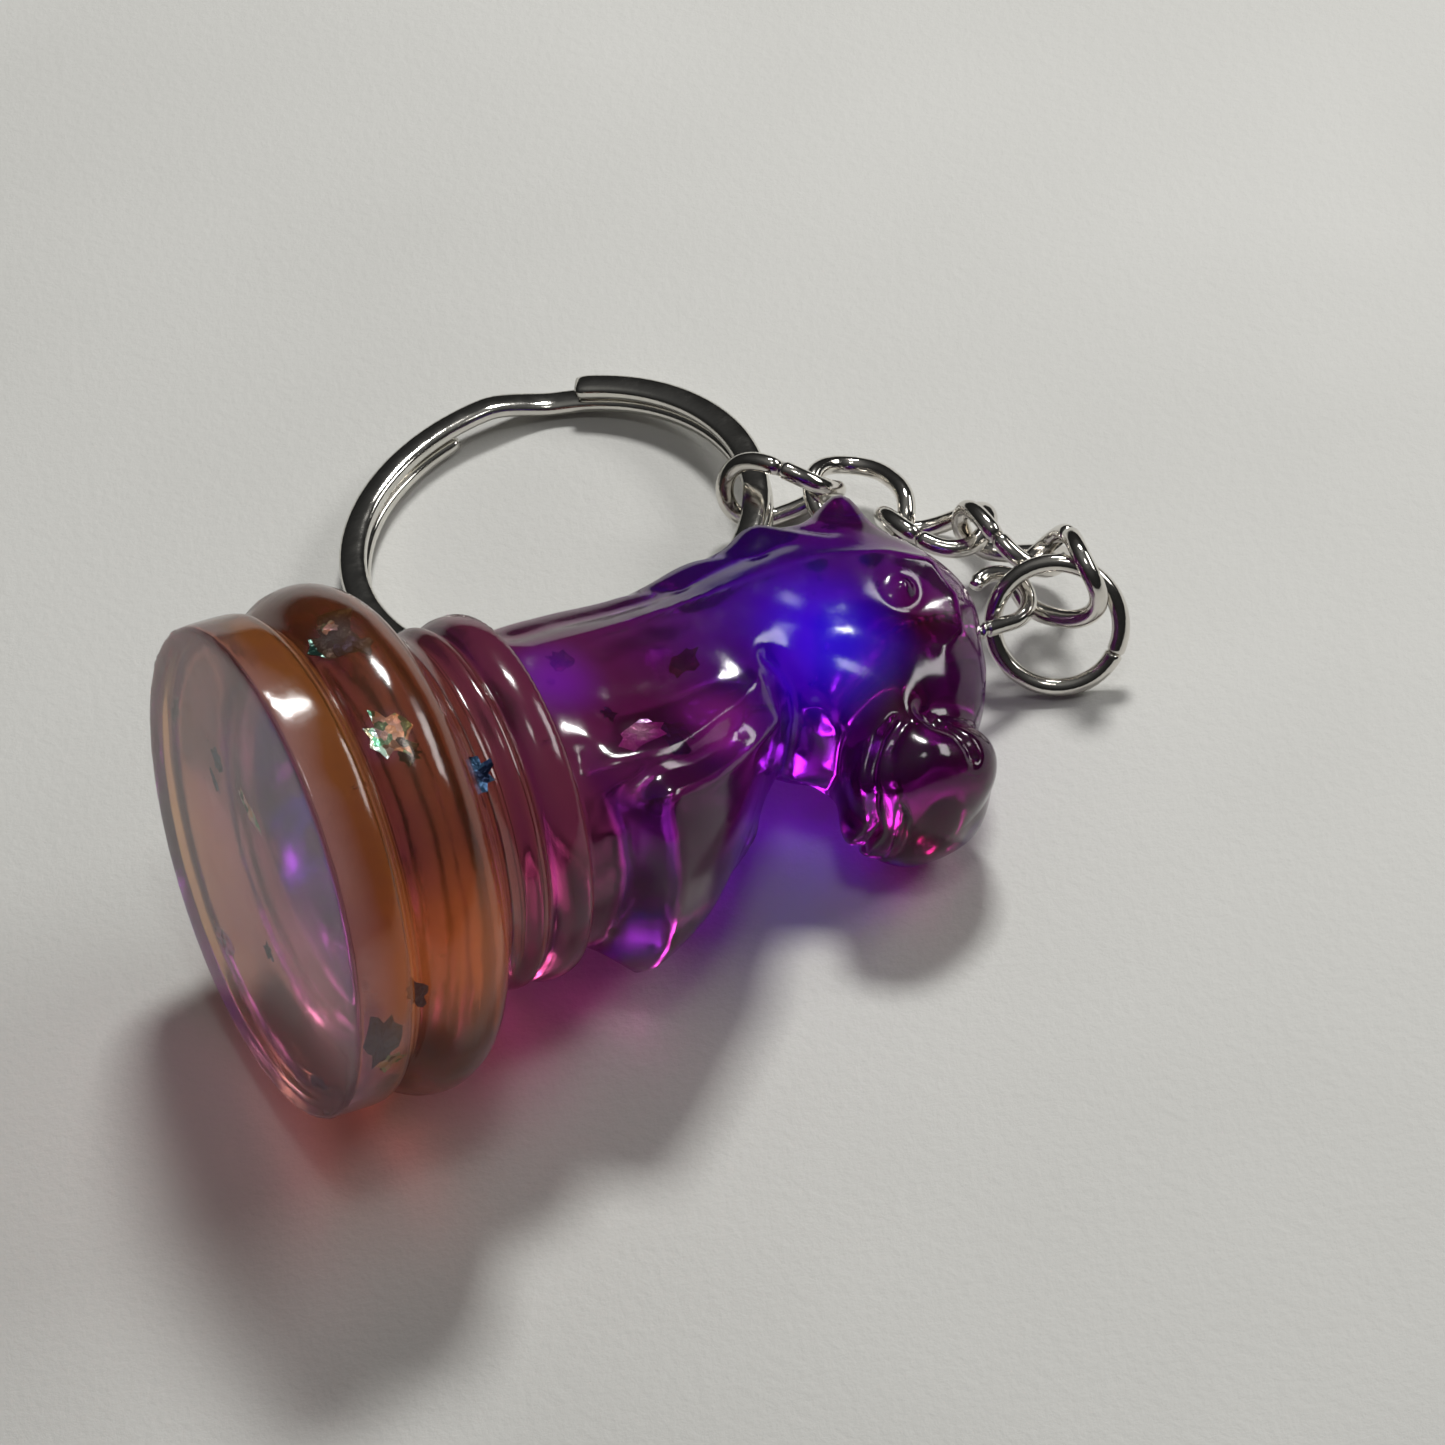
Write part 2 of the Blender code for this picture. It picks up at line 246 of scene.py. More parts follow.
# Foil flakes: place in the knight's frame, size across and along, turn in degrees, finish.
FLAKES = (
    ((12.7, -1.3, 1.4), (3.0, 1.6), 0.0, "navy"),
    ((12.4, -3.6, 3.3), (1.3, 0.9), 20.0, "umber"),
    ((13.0, 0.6, 2.0), (0.9, 1.1), 30.0, "holo"),
    ((-3.5, -12.4, 5.3), (2.7, 2.5), -15.0, "forest"),
    ((-2.4, -12.8, 5.9), (1.4, 1.2), 40.0, "navy"),
    ((-4.3, -12.4, 5.4), (0.8, 0.7), 10.0, "holo"),
    ((3.3, -12.7, 5.2), (2.0, 1.6), 10.0, "holo"),
    ((4.4, -12.2, 5.9), (1.0, 0.8), 60.0, "forest"),
    ((4.7, -9.3, 9.8), (1.5, 1.3), -30.0, "navy"),
    ((5.9, -8.5, 9.2), (0.6, 0.6), 15.0, "navy"),
    ((-5.0, -3.6, 0.5), (1.3, 0.9), 25.0, "navy"),
    ((-5.1, -1.7, 0.6), (0.5, 1.2), -10.0, "navy"),
    ((-0.7, -4.0, 0.5), (0.7, 2.0), 15.0, "holo"),
    ((2.6, 3.5, 0.6), (0.9, 0.7), 15.0, "navy"),
    ((3.7, -6.85, 19.8), (1.5, 2.1), 15.0, "rose_and_highlight"),
    ((4.1, -6.1, 21.5), (1.5, 1.3), 50.0, "navy"),
    ((-0.6, -5.8, 24.6), (1.0, 1.7), 30.0, "umber"),
    ((-2.6, -5.9, 18.3), (0.9, 1.1), -20.0, "umber"),
    ((1.6, -6.2, 19.0), (0.7, 0.9), 80.0, "navy"),
    ((-4.4, 11.6, 5.2), (1.5, 2.0), 25.0, "holo"),
    ((6.8, 10.3, 6.4), (1.6, 1.9), -40.0, "navy"),
    ((10.4, 7.4, 1.8), (1.8, 1.4), 10.0, "forest"),
    ((1.2, 6.2, 21.0), (1.4, 1.8), 35.0, "holo"),
    ((-5.6, 4.8, 25.6), (0.9, 1.3), -25.0, "rose_and_highlight"),
    ((0.8, 4.7, 33.8), (0.9, 1.2), 60.0, "navy"),
    ((-12.7, 1.8, 5.6), (1.6, 2.0), 5.0, "forest"),
    ((-8.8, -9.0, 2.0), (1.0, 1.4), 35.0, "umber"),
)

# Air bubbles: how many, how high up the knight, and their radii.
BUBBLE_COUNT = 46
BUBBLE_HEIGHTS = (1.0, 42.0)
BUBBLE_SIZES = (0.05, 0.13)
BIG_BUBBLE = 0.2
BIG_BUBBLE_EVERY = 7

# The height that the dye's stops run over, and how far they drift up and down, metres.
DYE_LENGTH = 0.046
DYE_DRIFT = 0.0028
# Dye: the colour from the flat foot to the top of the head, and clouds of other colours in it:
# centre in the knight's frame, radius in millimetres, share and colour.
DYE = (
    (0.00, (1.0, 0.78, 0.80)),
    (0.05, (0.60, 0.27, 0.05)),
    (0.19, (0.38, 0.11, 0.045)),
    (0.29, (0.36, 0.10, 0.11)),
    (0.36, (0.28, 0.045, 0.13)),
    (0.50, (0.20, 0.016, 0.19)),
    (0.66, (0.13, 0.006, 0.45)),
    (0.84, (0.13, 0.004, 0.10)),
    (0.95, (0.50, 0.02, 0.60)),
)
DYE_CLOUDS = (
    ((-1.8, -3.0, 33.4), 9.5, 1.0, (0.07, 0.003, 0.95)),
    ((9.5, 0.0, 35.0), 8.5, 1.0, (0.17, 0.002, 0.01)),
    ((0.2, -4.8, 33.2), 4.8, 1.0, (0.03, 0.0, 1.0)),
    ((0.8, -4.8, 38.6), 5.6, 1.0, (0.11, 0.002, 0.02)),
    ((4.6, -4.6, 35.2), 4.0, 1.0, (0.12, 0.002, 0.02)),
    ((1.6, -5.5, 21.5), 5.5, 0.8, (0.17, 0.008, 0.045)),
    ((7.5, 0.0, 20.5), 5.5, 0.8, (0.18, 0.008, 0.04)),
    ((-10.5, -1.0, 39.4), 6.0, 1.0, (0.42, 0.02, 0.55)),
    ((-1.0, -6.8, 16.4), 4.2, 0.8, (0.20, 0.01, 0.52)),
    ((3.6, -5.8, 24.2), 2.8, 0.6, (0.50, 0.04, 0.38)),
    ((11.5, -6.0, 5.5), 6.0, 0.8, (0.85, 0.28, 0.04)),
)
# Where foil lies just under the surface, so that little dye is over it: centre and radius.
CLEAR_SHARE = 0.7
CLEAR_COLOUR = (0.74, 0.56, 0.58)
CLEAR_SPOTS = (
    ((12.9, -1.2, 1.4), 2.2),
    ((-3.4, -12.9, 5.2), 2.0),
    ((3.4, -12.9, 5.0), 1.8),
    ((4.7, -9.8, 9.7), 1.3),
    ((3.7, -6.8, 19.7), 1.3),
)
# Painted light: emission where light scattered and carried through the dye would brighten the resin,
# from no lamp: centre, radius and colour.
PAINTED_GLOWS = (
    ((0.0, -4.6, 33.0), 5.6, (0.015, 0.0, 0.48)),
    ((4.0, -5.6, 24.2), 3.4, (0.10, 0.006, 0.07)),
    ((-1.0, -6.8, 17.0), 3.4, (0.05, 0.003, 0.14)),
    ((11.5, -5.0, 5.8), 6.5, (0.13, 0.032, 0.006)),
    ((8.5, -1.0, 0.6), 6.0, (0.10, 0.035, 0.04)),
)
# Swirls of another dye: colour and greatest share.
DYE_SWIRL = (0.24, 0.03, 0.12)
DYE_SWIRL_SHARE = 0.3
# Dark tint of the resin's shadow, the heights over which its share falls, and those shares.
DYE_SHADE = (0.11, 0.05, 0.09)
SHADE_SPAN = (0.014, 0.034, 0.85, 0.4)
RESIN_IOR = 1.5
# Air seen from inside the resin.
BUBBLE_IOR = 0.67
RESIN_CLEARNESS = 0.9
RESIN_ROUGHNESS = (0.11, 0.20)
# What the depth of resin takes from the light that crosses it.
RESIN_DEPTH = {"Density": 38.0, "Color": (0.47, 0.09, 0.42, 1.0)}

# Nickel plate: tint and least roughness.
BRIGHT_NICKEL = ((0.78, 0.75, 0.70), 0.05)
RING_NICKEL = ((0.76, 0.74, 0.69), 0.07)

# Foil finishes: material name, colour stops, patch scale, metallic share and roughness.
FOILS = {
    "navy": (
        "foil_navy",
        ((0.0, (0.004, 0.008, 0.03)), (0.6, (0.01, 0.03, 0.09)), (1.0, (0.05, 0.12, 0.22))),
        1500.0,
        0.7,
        0.3,
    ),
    "forest": (
        "foil_forest",
        ((0.0, (0.004, 0.01, 0.008)), (0.7, (0.01, 0.04, 0.03)), (1.0, (0.16, 0.26, 0.22))),
        1300.0,
        0.7,
        0.3,
    ),
    "holo": (
        "foil_holographic",
        (
            (0.0, (1.0, 1.0, 1.0)),
            (0.3, (0.30, 0.95, 0.55)),
            (0.5, (0.04, 0.07, 0.05)),
            (0.7, (1.0, 0.90, 0.55)),
            (1.0, (0.80, 0.95, 1.0)),
        ),
        2600.0,
        0.45,
        0.2,
    ),
    # Rose foil brightened to near white: partly its own pink and partly a painted highlight.
    "rose_and_highlight": (
        "foil_rose",
        ((0.0, (1.0, 0.75, 1.0)), (0.6, (0.85, 0.35, 0.9)), (1.0, (1.0, 0.95, 1.0))),
        2200.0,
        0.35,
        0.2,
    ),
    "umber": ("foil_umber", ((0.0, (0.05, 0.008, 0.012)), (1.0, (0.12, 0.03, 0.02))), 1200.0, 0.3, 0.4),
}

# Table and lights: each light's name, place in the row frame, size, watts and colour.
FLOOR_HALF = 1.2
FLOOR_TONES = ((0.60, 0.60, 0.575), (0.66, 0.66, 0.635))
LIGHT_TARGET = (0.0, 0.0, 0.01)
LIGHTS = (
    ("lamp", (0.14, 0.30, 0.46), (0.12, 0.08), 2.1, (1.0, 0.99, 0.97)),
    ("window", (0.41, 0.08, 0.27), (0.28, 0.11), 0.75, (1.0, 0.99, 0.97)),
    ("ceiling", (0.10, -0.10, 0.60), (0.10, 0.10), 0.25, (1.0, 0.98, 0.95)),
)
# Surroundings, from the horizon and below it (0) to straight up (1).
WORLD_STOPS = (
    (0.0, (0.02, 0.02, 0.02)),
    (0.5, (0.04, 0.04, 0.04)),
    (0.8, (0.10, 0.10, 0.10)),
    (1.0, (0.32, 0.32, 0.31)),
)
WORLD_STRENGTH = 0.6

# Camera: where it stands in the row frame, metres, its tilt from straight down and its roll.
CAMERA_PLACE = (0.00374, -0.20478, 0.23204)
CAMERA_TILT = radians(41.51)
CAMERA_ROLL = radians(-12.74)
CAMERA_LENS = 139.5


def power(value, exponent):
    return copysign(abs(value) ** exponent, value)


def turned_frame(centre, heading, rise, roll):
    """A frame in the row frame, its X along heading and rise, rolled about that X. Degrees."""
    turn = Euler((radians(roll), radians(-rise), radians(heading)), "XYZ")
    return Matrix.Translation((Vector(centre) - ORIGIN) * MM) @ turn.to_matrix().to_4x4()


def knight_frame():
    height = BEAD_HEIGHT * sin(KNIGHT_DROP) + BEAD_RADIUS * cos(KNIGHT_DROP)
    lying = Euler((0.0, pi / 2 + KNIGHT_DROP, KNIGHT_YAW), "XYZ").to_matrix().to_4x4()
    spin = Matrix.Rotation(KNIGHT_ROLL - pi / 2, 4, "Z")
    return Matrix.Translation((Vector((0.0, 0.0, height)) - ORIGIN) * MM) @ lying @ spin


def add_piece(name, mesh, finish, place, body, slot, *stands_for):
    """Adds a mesh made in the frame place as a piece in the row frame, riding on a CAD body."""
    mesh.transform(place)
    mesh.materials.append(finish)
    made = bpy.data.objects.new(name, mesh)
    bpy.context.scene.collection.objects.link(made)
    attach(made, body)
    if stands_for:
        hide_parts(*stands_for)


def grid_mesh(name, loops):
    """A closed mesh from equal loops of points, millimetres, joined one to the next and capped."""
    loops = np.asarray(loops, float)
    count, around = loops.shape[:2]
    points = loops.reshape(-1, 3)
    faces = []
    for i in range(count - 1):
        low, high = i * around, (i + 1) * around
        for j in range(around):
            k = (j + 1) % around
            faces.append((low + j, low + k, high + k, high + j))
    faces.append(tuple(reversed(range(around))))
    faces.append(tuple(range((count - 1) * around, count * around)))
    mesh = bpy.data.meshes.new(name)
    mesh.from_pydata((points * MM).tolist(), [], faces)
    build = bmesh.new()
    build.from_mesh(mesh)
    bmesh.ops.recalc_face_normals(build, faces=build.faces)
    build.to_mesh(mesh)
    build.free()
    mesh.polygons.foreach_set("use_smooth", [True] * len(mesh.polygons))
    return mesh


# Resin casting -------------------------------------------------------------------------------


def spline_weights(count):
    """Uniform cubic B-spline weights at count even steps between two control points."""
    t = np.arange(count) / count
    weights = [(1 - t) ** 3, 3 * t**3 - 6 * t**2 + 4, -3 * t**3 + 3 * t**2 + 3 * t + 1, t**3]
    return np.stack(weights, 1) / 6


def rib_loop(rib):
    (back_x, back_z), (front_x, front_z), half_width, widening, squareness = rib
    back = np.array((back_x, 0.0, back_z))
    front = np.array((front_x, 0.0, front_z))
    middle, reach = (back + front) / 2, (back - front) / 2
    loop = []
    for i in range(RIB_POINTS):
        angle = 2 * pi * i / RIB_POINTS
        along = power(cos(angle), 2 / squareness)
        across = power(sin(angle), 2 / squareness) * half_width * (1 + widening * along)
        loop.append(middle + reach * along + np.array((0.0, across, 0.0)))
    return np.array(loop)


def horse_loops():
    """Smooth sections of the neck and head, from inside the collar to the end of the muzzle."""
    ribs = [rib_loop(rib) for rib in RIBS]
    last = ribs[-1]
    middle = last.mean(0)
    ahead = np.array((0.55, 0.0, -0.1))
    ribs += [middle + (last - middle) * 0.55 + ahead, np.tile(middle + ahead * 1.3, (RIB_POINTS, 1))]
    ribs += [ribs[-1].copy()]
    control = np.array([ribs[0]] + ribs + [ribs[-1]])
    fine_around = AROUND // RIB_POINTS
    weights = spline_weights(fine_around)
    neighbours = [np.roll(control, 1 - k, axis=1) for k in range(4)]
    around = sum(n[:, :, None, :] * weights[None, None, :, k, None] for k, n in enumerate(neighbours))
    around = around.reshape(len(control), AROUND, 3)
    steps = HORSE_STATIONS // (len(control) - 3)
    weights = spline_weights(steps)
    loops = []
    for i in range(len(control) - 3):
        for w in weights:
            loops.append(sum(around[i + k] * w[k] for k in range(4)))
    return np.array(loops)


def foot_profile():
    """The foot's outline from the middle of the flat face, round its rim and bead, to the collar."""
    points = [(0.0, 0.0), (6.0, 0.0), (11.0, 0.0), (BASE_RADIUS - 0.5, 0.0), (BASE_RADIUS - 0.12, 0.1)]
    points += [(BASE_RADIUS, 0.35), (BASE_RADIUS + 0.02, 1.4), (BASE_RADIUS, 2.6)]
    points += [(BASE_RADIUS - 0.2, 3.2), (BASE_RADIUS - 0.75, 3.62), (BASE_RADIUS - 0.8, 3.8)]
    for angle in range(-58, 82, 14):
        radius = BEAD_RADIUS - BEAD_SECTION + BEAD_SECTION * cos(radians(angle))
        points.append((radius, BEAD_HEIGHT + BEAD_SECTION * sin(radians(angle))))
    points += [(WAIST_RADIUS + 0.75, 9.9), (WAIST_RADIUS + 0.25, 10.6), (WAIST_RADIUS + 0.1, 11.2)]
    points += [(WAIST_RADIUS + 0.42, 11.8), (WAIST_RADIUS + 0.36, 12.3), (WAIST_RADIUS - 0.05, 12.65)]
    points += [(COLLAR_RADIUS - 0.25, 13.0), (COLLAR_RADIUS, 13.6), (COLLAR_RADIUS, 14.3)]
    points += [(COLLAR_RADIUS - 0.2, 14.9), (COLLAR_RADIUS - 0.75, COLLAR_EDGE)]
    return points


def refine(points, steps):
    """Points of an open outline, rounded by a Catmull-Rom curve and closer together."""
    p = np.array([points[0]] + list(points) + [points[-1]], float)
    fine = []
    for i in range(len(p) - 3):
        for t in np.arange(steps) / steps:
            a = 2 * p[i + 1] + (p[i + 2] - p[i]) * t
            b = (2 * p[i] - 5 * p[i + 1] + 4 * p[i + 2] - p[i + 3]) * t**2
            c = (3 * p[i + 1] - p[i] - 3 * p[i + 2] + p[i + 3]) * t**3
            fine.append((a + b + c) / 2)
    fine.append(p[-2])
    return np.array(fine)


def foot_loops():
    angles = 2 * pi * np.arange(AROUND) / AROUND
    loops = []
    for radius, height in refine(foot_profile(), 3)[1:]:
        radius = max(radius, 0.02)
        loop = np.stack([-radius * np.cos(angles), radius * np.sin(angles), np.full(AROUND, height)], 1)
        loops.append(loop)
    return np.array(loops)


def distance_to_line(points, line):
    best = np.full(len(points), 1e9)
    for a, b in zip(line, line[1:]):
        a, b = np.array(a), np.array(b)
        along = np.clip(((points - a) @ (b - a)) / ((b - a) @ (b - a)), 0, 1)
        best = np.minimum(best, np.linalg.norm(points - a - along[:, None] * (b - a), axis=1))
    return best


def carve(points, normals):
    """How far each point of the horse moves along its normal, for the carved lines and spots."""
    folded = points * np.array((1.0, 0.0, 1.0)) + np.abs(points) * np.array((0.0, 1.0, 0.0))
    height = np.zeros(len(points))
    for line, half_width, depth in CARVED_LINES:
        reach = distance_to_line(folded, line) / half_width
        height += depth * np.exp(-reach if depth > 0 else -(reach**2))
    for spots, places in ((CARVED_SPOTS, folded), (MANE_SPOTS, points)):
        for centre, radius, depth in spots:
            reach = np.linalg.norm(places - np.array(centre), axis=1) / radius
            height += depth * np.exp(-(reach**2) * SPOT_FALL)
    return height


def grid_normals(loops):
    along = np.gradient(loops, axis=0)
    across = np.roll(loops, -1, axis=1) - np.roll(loops, 1, axis=1)
    normals = np.cross(across, along)
    length = np.linalg.norm(normals, axis=2, keepdims=True)
    return normals / np.maximum(length, 1e-9)


def casting_mesh():
    """The casting as one closed surface: the turned foot and collar, then the carved horse."""
    foot = foot_loops()
    horse = horse_loops()
    normals = grid_normals(horse)
    middle = horse.mean(axis=1, keepdims=True)
    if ((horse - middle) * normals)[: -TIP_FADE - TIP_PLAIN].sum() < 0:
        normals = -normals
    flat = horse.reshape(-1, 3)
    height = carve(flat, normals.reshape(-1, 3))
    fade = np.clip((flat[:, 2] - COLLAR_TOP - CARVING_START) / CARVING_FADE, 0, 1)
    station = np.repeat(np.arange(len(horse)), AROUND)
    tip = np.clip((len(horse) - TIP_PLAIN - station) / TIP_FADE, 0, 1)
    flat = flat + normals.reshape(-1, 3) * (height * fade * tip)[:, None]
    horse = flat.reshape(horse.shape)
    first = int(np.argmax(horse[:, :, 2].min(axis=1) > COLLAR_TOP + HORSE_LIFT))
    start = horse[first]
    edge = foot[-1]
    joined = []
    for share, lift in JOINING_LOOPS:
        loop = edge * (1 - share) + start * share
        loop[:, 2] = COLLAR_EDGE + lift
        joined.append(loop)
    loops = np.concatenate([foot, np.array(joined), horse[first:]])
    return grid_mesh("knight_resin", loops)


def roughen(mesh):
    """Small unevenness of a hand-poured casting, strongest on the cast edge of the flat foot."""
    for vertex in mesh.vertices:
        x, y, z = vertex.co / MM
        if z <= FLAT_TOP:
            continue
        at_rim = x * x + y * y > CHIP_RADIUS_SQUARED
        edge = max(0.0, 1.0 - abs(z - CHIP_MIDDLE) / CHIP_REACH) if at_rim else 0.0
        wobble = WOBBLE_HEIGHT * noise.noise(Vector((x, y, z)) * WOBBLE_GRAIN)
        pitted = noise.noise(Vector((x, y, 3.0)) * CHIP_GRAIN) - CHIP_START
        chip = CHIP_HEIGHT * edge * max(0.0, pitted)
        ticked = any(low < z < high for low, high in TICK_BANDS)
        tick = TICK_HEIGHT * cos(AROUND / 2 * atan2(y, x)) if ticked else 0.0
        outward = Vector((x, y, 0.0)).normalized() if x or y else Vector((0.0, 0.0, 1.0))
        vertex.co += outward * (wobble + chip + tick) * MM


# Wire pieces ---------------------------------------------------------------------------------


def tube_loops(path, section, up=None):
    """
    Loops of a tube along path. section(share, angle) gives (sideways, upwards) in millimetres.
    Where up is given, the section keeps upright by it all along, and elsewhere it doesn't twist.
    """
    path = np.asarray(path, float)
    count = len(path)
    tangent = np.gradient(path, axis=0)
    tangent /= np.linalg.norm(tangent, axis=1, keepdims=True)
    upward = np.array(up if up is not None else (0.0, 0.0, 1.0))
    if up is None and abs(tangent[0] @ upward) > 0.9:
        upward = np.array((1.0, 0.0, 0.0))
    loops = []
    for i in range(count):
        if up is not None:
            upward = np.array(up)
        side = np.cross(tangent[i], upward)
        side /= np.linalg.norm(side)
        upward = np.cross(side, tangent[i])
        loop = []
        for j in range(WIRE_SIDES):
            across, rise = section(i / (count - 1), 2 * pi * j / WIRE_SIDES)
            loop.append(path[i] + side * across + upward * rise)
        loops.append(loop)
    return loops


def round_wire(diameter, cut_share):
    """A round section that narrows a little in the last share of the length, as cut wire does."""

    def section(share, angle):
        near = min(share, 1 - share)
        radius = diameter / 2
        if near < cut_share:
            radius *= 0.8 + 0.2 * (near / cut_share) ** 0.5
        return radius * cos(angle), radius * sin(angle)

    return section


def seamed(path):
    """Leaves a cut between the first and the last point of a closed path."""
    path = np.asarray(path)
    step = np.linalg.norm(path[0] - path[-1])
    last = path[-1] + (path[0] - path[-1]) * (1 - SEAM_GAP / step)
    return np.concatenate([path, last[None]])


def link_path():
    """An oval, its two ends turned against each other, starting at the middle of a long side."""
    straight = (LINK_LENGTH - LINK_WIDTH) / 2
    points = []
    for i in range(LINK_STEPS):
        angle = 2 * pi * (i + 0.5) / LINK_STEPS + pi / 2
        x = LINK_WIDTH / 2 * cos(angle) + power(cos(angle), 0.35) * straight
        y = LINK_WIDTH / 2 * sin(angle)
        twist = LINK_TWIST * x / LINK_LENGTH
        points.append((x, y * cos(twist), y * sin(twist)))
    return points


def eye_path():
    """The screw eye's wire: up its shank, then round the loop towards -X."""
    points = [(0.0, 0.0, z) for z in np.arange(-EYE_SHANK_LENGTH, EYE_NECK, 0.05)]
    for i in range(61):
        angle = EYE_LOOP_TURN * i / 60
        x = EYE_LOOP_RADIUS * (cos(angle) - 1)
        points.append((x, 0.0, EYE_NECK + EYE_LOOP_RADIUS * sin(angle)))
    return points


def eye_section(path):
    heights = [p[2] for p in path]
    count = len(path)
    neck = sum(1 for p in path if p[0] == 0.0)

    def section(share, angle):
        i = round(share * (count - 1))
        radius = EYE_WIRE / 2
        if i < neck and heights[i] < 0.25:
            turn = (heights[i] / THREAD_PITCH - angle / (2 * pi)) % 1.0
            tip = min(1.0, (heights[i] + EYE_SHANK_LENGTH) / 1.3 + 0.12)
            tooth = THREAD_DEPTH * (1 - abs(2 * turn - 1)) ** 1.5
            radius = (radius - THREAD_DEPTH * 0.9 + tooth) * tip
        elif share > 0.985:
            radius *= 0.85
        return radius * cos(angle), radius * sin(angle)

    return section


def coil_path():
    """The split ring's wire: round the upper turn, down the step, and round the lower turn."""
    width, height = RING_SECTION
    radius = RING_RADIUS - width / 2
    rise = height + RING_TURN_GAP
    points = []
    for i in range(RING_STEPS + 1):
        turned = RING_LOWER_END * i / RING_STEPS
        drop = min(1.0, max(0.0, (turned - RING_STEP_START) / (RING_STEP_END - RING_STEP_START)))
        drop = drop * drop * (3 - 2 * drop)
        angle = RING_UPPER_END - turned
        points.append((radius * cos(angle), radius * sin(angle), rise * (0.5 - drop)))
    return points


def coil_section(share, angle):
    """A flattened round, thinned at its two cut ends."""
    width, height = RING_SECTION
    near = min(share, 1 - share)
    keep = 0.82 + 0.18 * min(1.0, near / 0.004) ** 0.5
    across = power(cos(angle), 0.72) * width / 2 * keep
    up = power(sin(angle), 0.72) * height / 2 * keep
    return across, up


# Flakes and bubbles --------------------------------------------------------------------------


def flake_mesh(name, half, seed):
    """A torn scrap of foil: an uneven outline, dished and creased, with a little thickness."""
    width, length = half
    build = bmesh.new()
    rings = []
    for share in (0.0, 0.5, 1.0):
        ring = []
        for i in range(FLAKE_CORNERS):
            angle = 2 * pi * i / FLAKE_CORNERS
            torn = noise.noise(Vector((cos(angle) * 2.4, sin(angle) * 2.4, seed * 3.1)))
            jag = 1 + FLAKE_JAG * torn
            x = width * share * jag * cos(angle)
            y = length * share * jag * sin(angle)
            z = FLAKE_CURL * noise.noise(Vector((x, y, seed * 7.3)) * 1.2)
            ring.append(build.verts.new(Vector((x, y, z)) * MM))
            if share == 0.0:
                break
        rings.append(ring)
    for i in range(FLAKE_CORNERS):
        j = (i + 1) % FLAKE_CORNERS
        build.faces.new((rings[0][0], rings[1][i], rings[1][j]))
        build.faces.new((rings[1][i], rings[2][i], rings[2][j], rings[1][j]))
    bmesh.ops.recalc_face_normals(build, faces=build.faces)
    bmesh.ops.solidify(build, geom=build.faces[:], thickness=FLAKE_THICKNESS * MM)
    # Solidify leaves the faces in an order that changes from run to run, so they are put in order.
    order = Vector((1.0, 0.618, 0.382))
    build.verts.sort(key=lambda vertex: vertex.co.dot(order))
    build.faces.sort(key=lambda face: face.calc_center_median().dot(order))
    mesh = bpy.data.meshes.new(name)
    build.to_mesh(mesh)
    build.free()
    return mesh


def outward_at(place):
    """Which way the nearest surface faces, for a flake at this place in the knight's frame."""
    x, y, z = place
    behind_face = z < 1.3 and x * x + y * y < 100
    in_horse = z > 16
    if behind_face:
        return Vector((0.15, 0.1, -1.0)).normalized()
    if in_horse:
        return Vector((0.25, copysign(1.0, y), 0.05)).normalized()
    return Vector((x, y, 0.2)).normalized()


def add_flakes(place, finishes):
    for number, (centre, size, turn, finish) in enumerate(FLAKES, start=1):
        name = f"foil_flake_{number:02d}"
        half = (size[0] / 2 * FLAKE_SPREAD, size[1] / 2 * FLAKE_SPREAD)
        mesh = flake_mesh(name, half, number)
        facing = outward_at(centre).to_track_quat("Z", "Y").to_matrix().to_4x4()
        spot = Matrix.Translation(Vector(centre) * MM)
        local = spot @ facing @ Matrix.Rotation(radians(turn), 4, "Z")
        add_piece(name, mesh, finishes[finish], place @ local, "knight", "resin")


def add_bubbles(place, finish):
    """Small air bubbles scattered through the resin, gathered in one piece."""
    random = np.random.default_rng(11)
    build = bmesh.new()
    for number in range(BUBBLE_COUNT):
        z = random.uniform(*BUBBLE_HEIGHTS)
        angle = random.uniform(0, 2 * pi)
        reach = random.uniform(0.5, 0.93)
        radius = (12.6 if z < 9 else 8.6) if z < 15 else 5.0
        x = reach * radius * cos(angle) + (0.5 if z < 27 else -3.0)
        y = reach * radius * sin(angle) * (1.0 if z < 15 else 0.9)
        size = random.uniform(*BUBBLE_SIZES) if number % BIG_BUBBLE_EVERY else BIG_BUBBLE
        spot = Matrix.Translation(Vector((x, y, z)) * MM)
        bmesh.ops.create_icosphere(build, subdivisions=2, radius=size * MM, matrix=spot)
    mesh = bpy.data.meshes.new("air_bubbles")
    build.to_mesh(mesh)
    build.free()
    mesh.polygons.foreach_set("use_smooth", [True] * len(mesh.polygons))
    add_piece("air_bubbles", mesh, finish, place, "knight", "resin")


# Materials -----------------------------------------------------------------------------------


def set_stops(elements, stops):
    """Gives a colour ramp's elements these positions and colours."""
    while len(elements) < len(stops):
        elements.new(0.5)
    for element, (position, colour) in zip(elements, stops):
        element.position = position
        element.color = (*colour, 1.0)


